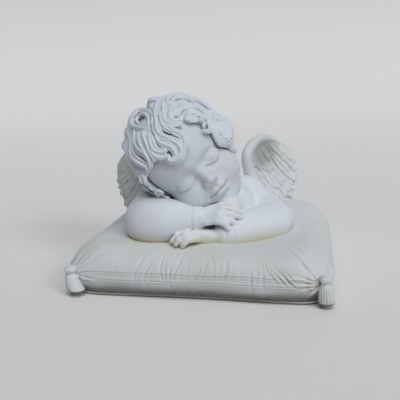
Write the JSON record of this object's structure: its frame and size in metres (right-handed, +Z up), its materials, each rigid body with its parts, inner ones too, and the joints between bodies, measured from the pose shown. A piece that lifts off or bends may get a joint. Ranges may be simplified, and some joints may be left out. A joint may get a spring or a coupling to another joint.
{
  "type": "sleeping angel statue",
  "caption": "Small winged cherub asleep with its head on crossed arms, on a pillow with tasselled corners, cast in one piece.",
  "frame": {"origin": "middle of the flat underside", "axes": "+Z up, +X along the cushion's long side towards the figure's left, +Y from the cushion's front to its back"},
  "size_m": [0.3316, 0.2664, 0.2385],
  "materials": {
    "white_resin": "matt white cast resin with a pale ochre wash in its creases"
  },
  "bodies": {
    "root": {"angel_on_cushion": "white_resin"}
  },
  "joints": []
}
